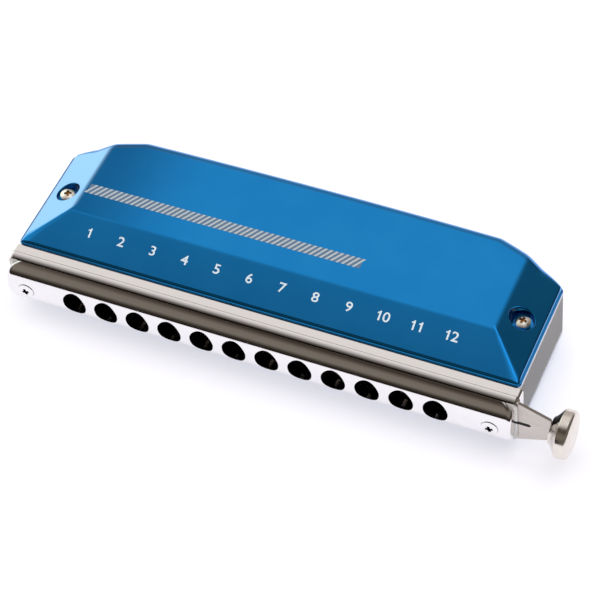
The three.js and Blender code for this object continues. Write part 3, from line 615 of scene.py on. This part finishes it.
# Mouthpiece screws
# Two chromed round-head screws with a cross recess, sunk in their seats at the ends of the
# face, which clamp mouthpiece, slide plates and comb together.
def screw_tree():
    """A domed head with a cross recess and a plain shank, set on every place of a mesh."""
    tree = bpy.data.node_groups.new("cross_recess_screws", "GeometryNodeTree")
    entry = tree.interface.new_socket
    entry("Places", in_out="INPUT", socket_type="NodeSocketGeometry")
    for label in ("Head radius", "Head height", "Dome", "Recess width", "Recess reach",
                  "Recess depth", "Shank radius", "Shank length"):
        entry(label, in_out="INPUT", socket_type="NodeSocketFloat")
    entry("Turn", in_out="INPUT", socket_type="NodeSocketVector")
    entry("Seed", in_out="INPUT", socket_type="NodeSocketInt")
    for label in ("Head finish", "Recess finish"):
        entry(label, in_out="INPUT", socket_type="NodeSocketMaterial")
    entry("Screws", in_out="OUTPUT", socket_type="NodeSocketGeometry")
    given = add(tree, "NodeGroupInput").outputs

    def raised(shape, height):
        lift = add(tree, "ShaderNodeCombineXYZ", {"Z": height})
        return add(tree, "GeometryNodeTransform", {"Geometry": shape, "Translation": lift})

    half_height = add(tree, "ShaderNodeMath", {
        0: given["Head height"], 1: 0.5,
    }, operation="MULTIPLY")
    disc = raised(add(tree, "GeometryNodeMeshCylinder", {
        "Vertices": 32, "Fill Segments": 6, "Radius": given["Head radius"],
        "Depth": given["Head height"],
    }, fill_type="TRIANGLE_FAN"), half_height)
    spot = add(tree, "GeometryNodeInputPosition")
    axes = add(tree, "ShaderNodeSeparateXYZ", {"Vector": spot}).outputs
    flat = add(tree, "ShaderNodeCombineXYZ", {"X": axes["X"], "Y": axes["Y"]})
    out = add(tree, "ShaderNodeVectorMath", {0: flat}, operation="LENGTH").outputs["Value"]
    share = add(tree, "ShaderNodeMath", {0: out, 1: given["Head radius"]}, operation="DIVIDE")
    fall = add(tree, "ShaderNodeMath", {0: share, 1: share}, operation="MULTIPLY")
    stand = add(tree, "ShaderNodeMath", {0: 1.0, 1: fall}, operation="SUBTRACT")
    dome = add(tree, "ShaderNodeMath", {0: given["Dome"], 1: stand}, operation="MULTIPLY")
    top = add(tree, "FunctionNodeCompare", {
        0: axes["Z"], 1: half_height,
    }, data_type="FLOAT", operation="GREATER_THAN")
    head = add(tree, "GeometryNodeSetPosition", {
        "Geometry": disc, "Selection": top,
        "Offset": add(tree, "ShaderNodeCombineXYZ", {"Z": dome}),
    })
    long, wide = given["Recess reach"], given["Recess width"]
    deep = add(tree, "ShaderNodeMath", {0: given["Recess depth"], 1: 2.0}, operation="MULTIPLY")
    crown = add(tree, "ShaderNodeMath", {
        0: given["Head height"], 1: given["Dome"],
    }, operation="ADD")
    arms = []
    for across, along in ((long, wide), (wide, long)):
        size = add(tree, "ShaderNodeCombineXYZ", {"X": across, "Y": along, "Z": deep})
        arms.append(add(tree, "GeometryNodeSetMaterial", {
            "Geometry": raised(add(tree, "GeometryNodeMeshCube", {"Size": size}), crown),
            "Material": given["Recess finish"],
        }))
    cross = add(tree, "GeometryNodeMeshBoolean", {
        "Mesh 1": head, "Mesh 2": arms,
    }, operation="DIFFERENCE", solver="EXACT")
    below = add(tree, "ShaderNodeMath", {
        0: given["Shank length"], 1: -0.5,
    }, operation="MULTIPLY")
    shank = raised(add(tree, "GeometryNodeMeshCylinder", {
        "Vertices": 16, "Radius": given["Shank radius"], "Depth": given["Shank length"],
    }), below)
    screw = add(tree, "GeometryNodeJoinGeometry", {"Geometry": [cross, shank]})
    angle = add(tree, "FunctionNodeRandomValue", {
        "Min": (0, 0, 0), "Max": (0, 0, math.pi / 2), "Seed": given["Seed"],
    }, data_type="FLOAT_VECTOR")
    places = add(tree, "GeometryNodeInstanceOnPoints", {
        "Points": given["Places"], "Instance": screw, "Rotation": given["Turn"],
    })
    turned = add(tree, "GeometryNodeRotateInstances", {"Instances": places, "Rotation": angle})
    plain = add(tree, "GeometryNodeRealizeInstances", {"Geometry": turned})
    inner = add(tree, "GeometryNodeMaterialSelection", {"Material": given["Recess finish"]})
    outer = add(tree, "FunctionNodeBooleanMath", {0: inner}, operation="NOT")
    done = add(tree, "GeometryNodeSetMaterial", {
        "Geometry": plain, "Selection": outer, "Material": given["Head finish"],
    })
    add(tree, "NodeGroupOutput", {"Screws": done})
    return tree


def grown(name, tree, places, values, body="harmonica_body"):
    """What a node tree makes over some places, as a plain mesh."""
    start = bpy.data.meshes.new(name)
    start.from_pydata([tuple(p) for p in placed(places)], [], [])
    shape = bpy.data.objects.new(name, start)
    bpy.context.scene.collection.objects.link(shape)
    maker = shape.modifiers.new("maker", "NODES")
    maker.node_group = tree
    entries = {item.name: item.identifier for item in tree.interface.items_tree
               if item.in_out == "INPUT"}
    for label, value in values.items():
        maker[entries[label]] = value
    bpy.context.view_layer.update()
    graph = bpy.context.evaluated_depsgraph_get()
    shape.data = bpy.data.meshes.new_from_object(shape.evaluated_get(graph))
    shape.modifiers.clear()
    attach(shape, body)
    return shape


screws = screw_tree()
SEAT_Y = 1.25
# Unlit steel in the bottom of a cross recess: reads as a plain black cross.
recess_steel = metal_finish("shaded_recess_steel", ("#241f1b", "#0f0d0c"), 0.3, 0.5, 0.4)
seats = [(side * SCREW_X, SEAT_Y, 0) for side in (-1, 1)]
heads = grown("mouthpiece_screw_pair", screws, seats, {
    "Head radius": 0.00218, "Head height": 0.0014, "Dome": 0.0004, "Recess width": 0.0008,
    "Recess reach": 0.0020, "Recess depth": 0.0008, "Shank radius": 0.00115,
    "Shank length": 0.0105, "Turn": (math.pi / 2, 0, 0), "Seed": 4, "Head finish": chrome,
    "Recess finish": recess_steel,
})
softened(heads, 0.4, 50)
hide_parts("mouthpiece_screw_left", "mouthpiece_screw_right")


# Cover screws
# Small nickel-plated screws with a brass-coloured cross recess, one in each cover dish.
HEAD_LIFT = 0.03
# Nickel plate over a turned head: a pale, slightly warm shine.
nickel_head = metal_finish("bright_nickel_screw_head", ("#f3efe8", "#dcd3c6"), 0.16, 0.3, 0.8)
# Brass where the driver has rubbed the nickel away: a golden brown cross.
worn_recess = metal_finish("brass_under_worn_nickel", ("#c48f50", "#94662e"), 0.25, 0.45, 0.5)
for level, up, turn in (("top", 1, 0), ("bottom", -1, math.pi)):
    seats = [(side * CUP_X, CUP_Y, up * (CUP_FLOOR + HEAD_LIFT)) for side in (-1, 1)]
    heads = grown(f"{level}_cover_screw_pair", screws, seats, {
        "Head radius": 0.00205, "Head height": 0.0010, "Dome": 0.00055,
        "Recess width": 0.0007, "Recess reach": 0.0020, "Recess depth": 0.0006,
        "Shank radius": 0.00105, "Shank length": 0.0052, "Turn": (turn, 0, 0), "Seed": 9,
        "Head finish": nickel_head, "Recess finish": worn_recess,
    })
    softened(heads, 0.14, 50)
    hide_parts(f"{level}_cover_screw_left", f"{level}_cover_screw_right")


# Hole numbers and stripe
# Ink screen-printed on the lacquer: a white number for each hole along the front slope, and a
# hatched grey stripe along the flat top.
INK = 0.02
NUMBER_X, NUMBER_Y = -1.1, 15.1
NUMBER_TALL = 2.6
NUMBER_WIDEN = 1.12
DIGIT_PITCH = 0.74
DIGIT_EXTRUDE, DIGIT_BOLDER = 0.01, 0.010
STRIPE_X = (-56.6, 20.6)
STRIPE_Y = (25.85, 29.05)
STROKE_PERIOD = 1.49
STROKE_WIDE = 0.64
STROKE_SLANT = 0.63


def printed_ink(name, thin, thick):
    """Matt screen ink: nearly even, with the mesh of the screen as a fine mottle."""
    mesh_spacing = 0.4
    finish, tree = new_finish(name)
    where = add(tree, "ShaderNodeTexCoord").outputs["Object"]
    mottle = add(tree, "ShaderNodeTexNoise", {"Vector": where, "Scale": 1000 / mesh_spacing})
    tint = add(tree, "ShaderNodeMix", {
        SHARE: mottle, UNDER: colour(thin), OVER: colour(thick),
    }, data_type="RGBA")
    polish = add(tree, "ShaderNodeMapRange", {
        "Value": mottle, "From Min": 0.3, "From Max": 0.7, "To Min": 0.4, "To Max": 0.6,
    }, interpolation_type="SMOOTHSTEP")
    add(tree, "ShaderNodeOutputMaterial", {"Surface": add(tree, "ShaderNodeBsdfPrincipled", {
        "Base Color": tint, "Roughness": polish,
    })})
    return finish


def figure(label):
    """A digit as a flat closed mesh: its corners in units of its height, and its faces."""
    if label == "1":
        outline = ((0.12, 0), (0.12, 1), (0.02, 1), (-0.04, 0.89), (-0.2, 0.8), (-0.2, 0.66),
                   (-0.04, 0.73), (-0.04, 0))
        spots = [(x, y - 0.5, z) for z in (DIGIT_EXTRUDE, -DIGIT_EXTRUDE) for x, y in outline]
        count = len(outline)
        faces = [(3, 2, 1, 0, 7, 6), (5, 4, 3, 6), (11, 14, 15, 8, 9, 10), (14, 11, 12, 13)]
        faces += [(k, (k + 1) % count, count + (k + 1) % count, count + k)
                  for k in range(count)]
        return np.array(spots), faces
    curve = bpy.data.curves.new("figure", "FONT")
    curve.body = "6" if label == "9" else label
    curve.align_x = "CENTER"
    curve.extrude = DIGIT_EXTRUDE
    curve.offset = DIGIT_BOLDER
    holder = bpy.data.objects.new("figure", curve)
    bpy.context.scene.collection.objects.link(holder)
    bpy.context.view_layer.update()
    flat = bpy.data.meshes.new_from_object(
        holder.evaluated_get(bpy.context.evaluated_depsgraph_get()))
    bpy.data.objects.remove(holder)
    spots = np.array([tuple(v.co) for v in flat.vertices])
    faces = [tuple(p.vertices) for p in flat.polygons]
    tall = spots[:, 1].max() - spots[:, 1].min()
    spots[:, 1] -= spots[:, 1].min()
    spots[:, :2] /= tall
    spots[:, 0] -= (spots[:, 0].max() + spots[:, 0].min()) / 2
    spots[:, 1] -= 0.5
    if label == "9":
        spots[:, :2] *= -1
    return spots, faces


ink = printed_ink("white_screen_ink", "#cddbe6", "#e4edf4")
hatch_ink = printed_ink("pale_grey_screen_ink", "#a9b2ba", "#b6bec6")
wash_ink = printed_ink("thin_grey_screen_wash", "#526a84", "#5d7590")
points, faces = [], []
slope = math.atan((COVER_TOP - COVER_SEAT - FRONT_LIP) / (FLAT_FRONT - COVER_FRONT))
for index, hole in enumerate(hole_places):
    label = str(index + 1)
    for place, digit in enumerate(label):
        spots, sides = figure(digit)
        shift = (place - (len(label) - 1) / 2) * DIGIT_PITCH
        x = hole + NUMBER_X + (spots[:, 0] * NUMBER_WIDEN + shift) * NUMBER_TALL
        y = NUMBER_Y + spots[:, 1] * NUMBER_TALL * math.cos(slope)
        z = cover_height(x[:, None], y[:, None])[:, 0] + INK * np.sign(spots[:, 2])
        start = sum(len(p) for p in points)
        points.append(np.stack([x, y, z], -1))
        faces += [tuple(start + corner for corner in side) for side in sides]
numbers = mesh_object("hole_numbers", np.vstack(points), faces, ink)
numbers.data.polygons.foreach_set("use_smooth", [False] * len(numbers.data.polygons))


def stripe_tree():
    """A row of slanted strokes along X on a thin band of wash, laid from every place of a mesh."""
    tree = bpy.data.node_groups.new("hatched_stripe", "GeometryNodeTree")
    entry = tree.interface.new_socket
    entry("Places", in_out="INPUT", socket_type="NodeSocketGeometry")
    entry("Strokes", in_out="INPUT", socket_type="NodeSocketInt")
    for label in ("Period", "Stroke width", "Height", "Thickness", "Slant"):
        entry(label, in_out="INPUT", socket_type="NodeSocketFloat")
    for label in ("Ink", "Wash"):
        entry(label, in_out="INPUT", socket_type="NodeSocketMaterial")
    entry("Stripe", in_out="OUTPUT", socket_type="NodeSocketGeometry")
    given = add(tree, "NodeGroupInput").outputs

    def laid(shape, finish):
        copies = add(tree, "GeometryNodeInstanceOnPoints", {
            "Points": given["Places"], "Instance": shape,
        })
        plain = add(tree, "GeometryNodeRealizeInstances", {"Geometry": copies})
        return add(tree, "GeometryNodeSetMaterial", {"Geometry": plain, "Material": finish})

    size = add(tree, "ShaderNodeCombineXYZ", {
        "X": given["Stroke width"], "Y": given["Height"], "Z": given["Thickness"],
    })
    stroke = add(tree, "GeometryNodeMeshCube", {"Size": size})
    spot = add(tree, "GeometryNodeInputPosition")
    along = add(tree, "ShaderNodeSeparateXYZ", {"Vector": spot}).outputs["Y"]
    lean = add(tree, "ShaderNodeMath", {0: along, 1: given["Slant"]}, operation="MULTIPLY")
    stroke = add(tree, "GeometryNodeSetPosition", {
        "Geometry": stroke, "Offset": add(tree, "ShaderNodeCombineXYZ", {"X": lean}),
    })
    row = add(tree, "GeometryNodeMeshLine", {
        "Count": given["Strokes"],
        "Offset": add(tree, "ShaderNodeCombineXYZ", {"X": given["Period"]}),
    }, mode="OFFSET")
    strokes = add(tree, "GeometryNodeInstanceOnPoints", {"Points": row, "Instance": stroke})
    length = add(tree, "ShaderNodeMath", {
        0: given["Strokes"], 1: given["Period"],
    }, operation="MULTIPLY")
    thin = add(tree, "ShaderNodeMath", {0: given["Thickness"], 1: 0.5}, operation="MULTIPLY")
    size = add(tree, "ShaderNodeCombineXYZ", {"X": length, "Y": given["Height"], "Z": thin})
    reach = add(tree, "ShaderNodeMath", {0: length, 1: given["Period"]}, operation="SUBTRACT")
    middle = add(tree, "ShaderNodeMath", {0: reach, 1: 0.5}, operation="MULTIPLY")
    band = add(tree, "GeometryNodeTransform", {
        "Geometry": add(tree, "GeometryNodeMeshCube", {"Size": size}),
        "Translation": add(tree, "ShaderNodeCombineXYZ", {"X": middle}),
    })
    both = add(tree, "GeometryNodeJoinGeometry", {
        "Geometry": [laid(strokes, given["Ink"]), laid(band, given["Wash"])],
    })
    add(tree, "NodeGroupOutput", {"Stripe": both})
    return tree


stripe_start = (STRIPE_X[0], sum(STRIPE_Y) / 2, COVER_TOP)
stripe = grown("hatched_stripe_print", stripe_tree(), [stripe_start], {
    "Strokes": int((STRIPE_X[1] - STRIPE_X[0]) / STROKE_PERIOD) + 1,
    "Period": STROKE_PERIOD / 1000, "Stroke width": STROKE_WIDE / 1000,
    "Height": (STRIPE_Y[1] - STRIPE_Y[0]) / 1000, "Thickness": 2 * INK / 1000,
    "Slant": STROKE_SLANT, "Ink": hatch_ink, "Wash": wash_ink,
})


# Comb
# A moulded body of grey ABS with the channels of the reeds, satin on its end walls. Its front
# rail, which the mouthpiece closes against, is capped with the same bright plating.
CHANNELS_HALF, CHANNELS_BACK = 59.0, 44.0
RAIL_FLANK, RAIL_END = 7.2, 69.0


def comb_finish():
    """Satin moulded grey, capped with plating in front of the covers, with painted shade making
    its channels near-black.
    """
    grain_size, cloud_size = 0.625, 50 / 3
    soft = 0.2  # how far one finish fades into the next
    finish, tree = new_finish("moulded_grey_abs_with_plated_rail")
    where = add(tree, "ShaderNodeTexCoord").outputs["Object"]
    away = add(tree, "ShaderNodeVectorMath", {0: where, 1: tuple(LIPS)}, operation="SUBTRACT")
    place = add(tree, "ShaderNodeVectorMath", {0: away, "Scale": 1000.0}, operation="SCALE")
    axes = add(tree, "ShaderNodeSeparateXYZ", {"Vector": place}).outputs
    reach = add(tree, "ShaderNodeMath", {0: axes["X"]}, operation="ABSOLUTE")
    height = add(tree, "ShaderNodeMath", {0: axes["Z"]}, operation="ABSOLUTE")
    grain = add(tree, "ShaderNodeTexNoise", {
        "Vector": where, "Scale": 1000 / grain_size, "Detail": 2.0,
    })
    cloud = add(tree, "ShaderNodeTexNoise", {"Vector": where, "Scale": 1000 / cloud_size})
    plastic = add(tree, "ShaderNodeMix", {
        SHARE: cloud, UNDER: colour("#97979a"), OVER: colour("#afaeaf"),
    }, data_type="RGBA")
    beside = add(tree, "ShaderNodeMapRange", {
        "Value": reach, "From Min": CHANNELS_HALF, "From Max": CHANNELS_HALF + soft,
    }, interpolation_type="SMOOTHSTEP")
    behind = add(tree, "ShaderNodeMapRange", {
        "Value": axes["Y"], "From Min": CHANNELS_BACK, "From Max": CHANNELS_BACK + soft,
    }, interpolation_type="SMOOTHSTEP")
    wall = add(tree, "ShaderNodeMath", {0: beside, 1: behind}, operation="MAXIMUM")
    # Painted shade: near-black inside the channels, moulded grey on the end walls and back.
    shade = add(tree, "ShaderNodeMix", {
        SHARE: wall, UNDER: colour("#0c0b0b"), OVER: plastic,
    }, data_type="RGBA")
    rail = add(tree, "ShaderNodeMapRange", {
        "Value": axes["Y"], "From Min": COVER_FRONT + 0.02, "From Max": COVER_FRONT - 0.02,
    }, interpolation_type="SMOOTHSTEP")
    flank = add(tree, "ShaderNodeMapRange", {
        "Value": height, "From Min": RAIL_FLANK, "From Max": RAIL_FLANK + 0.1,
    }, interpolation_type="SMOOTHSTEP")
    end = add(tree, "ShaderNodeMapRange", {
        "Value": reach, "From Min": RAIL_END, "From Max": RAIL_END + 0.1,
    }, interpolation_type="SMOOTHSTEP")
    skirt = add(tree, "ShaderNodeMath", {0: flank, 1: end}, operation="MAXIMUM")
    plated = add(tree, "ShaderNodeMath", {0: rail, 1: skirt}, operation="MULTIPLY")
    whole = add(tree, "ShaderNodeMix", {
        SHARE: plated, UNDER: shade, OVER: colour("#eceaea"),
    }, data_type="RGBA")
    polish = add(tree, "ShaderNodeMapRange", {
        "Value": plated, "To Min": 0.48, "To Max": 0.15,
    }, interpolation_type="SMOOTHSTEP")
    front_edge = add(tree, "ShaderNodeMapRange", {
        "Value": axes["Y"], "From Min": NOSE_BACK + 0.04, "From Max": NOSE_BACK + 0.01,
        "To Max": 0.35,
    }, interpolation_type="SMOOTHSTEP")
    worn_edge = add(tree, "ShaderNodeMath", {0: front_edge, 1: plated}, operation="MULTIPLY")
    roughness = add(tree, "ShaderNodeMath", {0: polish, 1: worn_edge}, operation="ADD")
    bare = add(tree, "ShaderNodeMapRange", {
        "Value": plated, "To Min": 1.0, "To Max": 0.0,
    }, interpolation_type="SMOOTHSTEP")
    bump = add(tree, "ShaderNodeBump", {
        "Height": add(tree, "ShaderNodeMath", {0: grain, 1: bare}, operation="MULTIPLY"),
        "Strength": 0.15, "Distance": 0.0001,
    })
    add(tree, "ShaderNodeOutputMaterial", {"Surface": add(tree, "ShaderNodeBsdfPrincipled", {
        "Base Color": whole, "Metallic": plated, "Roughness": roughness, "Normal": bump,
    })})
    return finish


def refinished(name, finish):
    """A CAD node that keeps its shape and gets its finish."""
    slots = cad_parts[name].data.materials
    slots.clear()
    slots.append(finish)


refinished("comb", comb_finish())


# Reed plates
# Two rolled brass plates, nickel-plated, with a slot and a riveted brass reed over each chamber,
# each held to the comb by six screws. Only their edges show, as a bright line under each cover.

# Nickel on rolled brass: a cool, soft shine.
reed_metal = metal_finish("nickel_plated_reed_brass", ("#c9ccd0", "#aeb0b2"), 0.2, 0.34, 4.0)
# Zinc on small steel screws: a duller, slightly yellow grey.
plate_steel = metal_finish("zinc_plated_screw_steel", ("#c9c6c0", "#a9a59d"), 0.25, 0.4, 1.0)
for level in ("upper", "lower"):
    refinished(f"{level}_reed_plate", reed_metal)
    for number in range(1, 7):
        refinished(f"{level}_plate_screw_{number}", plate_steel)


# Slide
# A nickel-plated steel blade with a window under each hole, which runs in front of a steel back
# plate. Its end stands out of the body on the right, and a narrow relief slit runs along its
# middle, filled by a near-black inlay that stands for painted shade.
SLIT_X = (70.05, 73.3)
SLIT_Y = (4.13, 4.97)
SLIT_Z = -0.5
SLIT_HALF = 0.55
# Nickel over ground steel: a satin grey with long faint marks along the blade.
nickel = metal_finish("satin_nickel_slide_steel", ("#cdc7c1", "#bdb5af"), 0.22, 0.34, 6.0,
                      marks=(0.3, 1, 1.6))
refinished("slide", nickel)
slit_end = [(SLIT_X[1] - SLIT_HALF * (1 - math.sin(turn)), SLIT_Z + SLIT_HALF * math.cos(turn))
            for turn in np.linspace(0, math.pi, 13)]
slit_outline = slit_end + [(SLIT_X[0], SLIT_Z - SLIT_HALF), (SLIT_X[0], SLIT_Z + SLIT_HALF)]
# A near-black inlay in the slit: painted shade where the slit looks into the dark body.
slit = mesh_object("slide_slit_painted_shade", *skinned([
    [(x, y, z) for x, z in slit_outline] for y in SLIT_Y]), painted_shade_steel, "slide_body")
slit.data.polygons.foreach_set("use_smooth", [False] * len(slit.data.polygons))
# Bare steel sheet, wiped with oil: a dull grey.
back_steel = metal_finish("dull_slide_plate_steel", ("#b9b4ae", "#8f8983"), 0.25, 0.4, 5.0)
refinished("slide_back_plate", back_steel)


# Button
# A turned brass button, nickel-plated to a pale satin, riveted on the blade's tang. Its back
# flares from a small hub, with a dark reflection painted on the upper part of the flare, and
# its face is slightly domed.
BUTTON_X, BUTTON_Y = 78.6, 4.55
BUTTON_RADIUS = 6.25
HUB_RADIUS = 3.6
FLARE = 2.3
FLARE_DARK_START, FLARE_DARK_END, FLARE_DARK_Y = 0.3, 0.05, -1.2  # the painted dark reflection: in from each end of the flare, off its axis
RIM = 3.1
DOME = 0.5
DOME_RINGS = (3.9, 3.0, 2.0, 1.0)
RIVET_X, RIVET_Z = 79.7, -0.6
RIVET_STEPS = 24
RIVET_RINGS = ((2.0, 0.62), (1.0, 0.62), (0.85, 0.5))  # depth and radius


def turned_about_x(profile, steps=96):
    """A closed skin turned about the button's axis, from places along it and radii."""
    points = [(x, BUTTON_Y + radius * math.cos(math.tau * k / steps),
               radius * math.sin(math.tau * k / steps))
              for x, radius in profile[1:-1] for k in range(steps)]
    rings = len(profile) - 2
    faces = [(ring * steps + k, (ring + 1) * steps + k, (ring + 1) * steps + (k + 1) % steps,
              ring * steps + (k + 1) % steps) for ring in range(rings - 1) for k in range(steps)]
    for ring, (x, _) in ((0, profile[0]), (rings - 1, profile[-1])):
        centre = len(points)
        points.append((x, BUTTON_Y, 0))
        faces += [(ring * steps + k, ring * steps + (k + 1) % steps, centre)
                  for k in range(steps)]
    return points, faces


flare_x = BUTTON_X + FLARE
face_x = flare_x + RIM
hub_end = (BUTTON_X + 0.25, HUB_RADIUS)
flare_end = (flare_x, BUTTON_RADIUS - 0.2)
profile = [(BUTTON_X, 0), (BUTTON_X, HUB_RADIUS - 0.25), (BUTTON_X + 0.08, HUB_RADIUS - 0.08),
           hub_end]
profile += [tuple(spot) for spot in bezier(
    [hub_end, (BUTTON_X + 0.9, HUB_RADIUS + 0.3), (flare_x - 0.4, BUTTON_RADIUS - 0.5),
     flare_end], 10)[1:]]
profile += [tuple(spot) for spot in bezier(
    [flare_end, (flare_x + 0.1, BUTTON_RADIUS), (flare_x + 0.4, BUTTON_RADIUS)], 6)[1:]]
profile += [tuple(spot) for spot in bezier(
    [(face_x - 1.1, BUTTON_RADIUS), (face_x - 0.1, BUTTON_RADIUS),
     (face_x + 0.1, BUTTON_RADIUS - 1.3)], 12)]
profile += [(face_x + DOME * (1 - (radius / BUTTON_RADIUS) ** 2), radius)
            for radius in DOME_RINGS] + [(face_x + DOME, 0)]
# Nickel buffed to a satin: warm, pale and softly blurred.
satin = metal_finish("pale_satin_nickel_button", ("#e9e2dc", "#dfd7cf"), 0.16, 0.26, 2.0)
# A painted dark reflection on the upper hollow of the flare: nearly black.
flare_dark_reflection = metal_finish("painted_dark_reflection_on_flare", ("#161312", "#0b0a0a"), 0.3, 0.5, 1.5)
button = mesh_object("slide_button_turning", *turned_about_x(profile), satin, "slide_body")
# Painted dark reflection: the flare's faces on its upper side get the near-black finish.
darkened(button, flare_dark_reflection, lambda spot, normal: BUTTON_X + FLARE_DARK_START < spot.x < flare_x - FLARE_DARK_END
         and spot.z > 0 and spot.y > BUTTON_Y + FLARE_DARK_Y)
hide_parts("slide_button")
# The tang rivet in near-black steel: painted shade of the hole it sits in.
rivet_turns = [math.tau * k / RIVET_STEPS for k in range(RIVET_STEPS)]
rivet = mesh_object("tang_rivet", *skinned([
    [(RIVET_X + radius * math.cos(turn), y, RIVET_Z + radius * math.sin(turn))
     for turn in rivet_turns] for y, radius in RIVET_RINGS]), painted_shade_steel, "slide_body")


# Spring and bumper
# A bent spring wire in the comb's left pocket pushes the slide out again, and a soft rubber ring
# round the left screw stops it quietly.

# Drawn wire: a clean grey with fine marks.
wire = metal_finish("drawn_spring_wire", ("#b5b1aa", "#8d8880"), 0.2, 0.35, 0.6)
refinished("slide_spring", wire)


def soft_rubber():
    """Black rubber: matt, with the faint mottle of its mould."""
    mottle_size = 5 / 6
    finish, tree = new_finish("black_bumper_rubber")
    where = add(tree, "ShaderNodeTexCoord").outputs["Object"]
    mottle = add(tree, "ShaderNodeTexNoise", {"Vector": where, "Scale": 1000 / mottle_size})
    tint = add(tree, "ShaderNodeMix", {
        SHARE: mottle, UNDER: colour("#161616"), OVER: colour("#272626"),
    }, data_type="RGBA")
    polish = add(tree, "ShaderNodeMapRange", {
        "Value": mottle, "From Min": 0.3, "From Max": 0.7, "To Min": 0.7, "To Max": 0.85,
    }, interpolation_type="SMOOTHSTEP")
    add(tree, "ShaderNodeOutputMaterial", {"Surface": add(tree, "ShaderNodeBsdfPrincipled", {
        "Base Color": tint, "Roughness": polish,
    })})
    return finish


refinished("slide_bumper", soft_rubber())
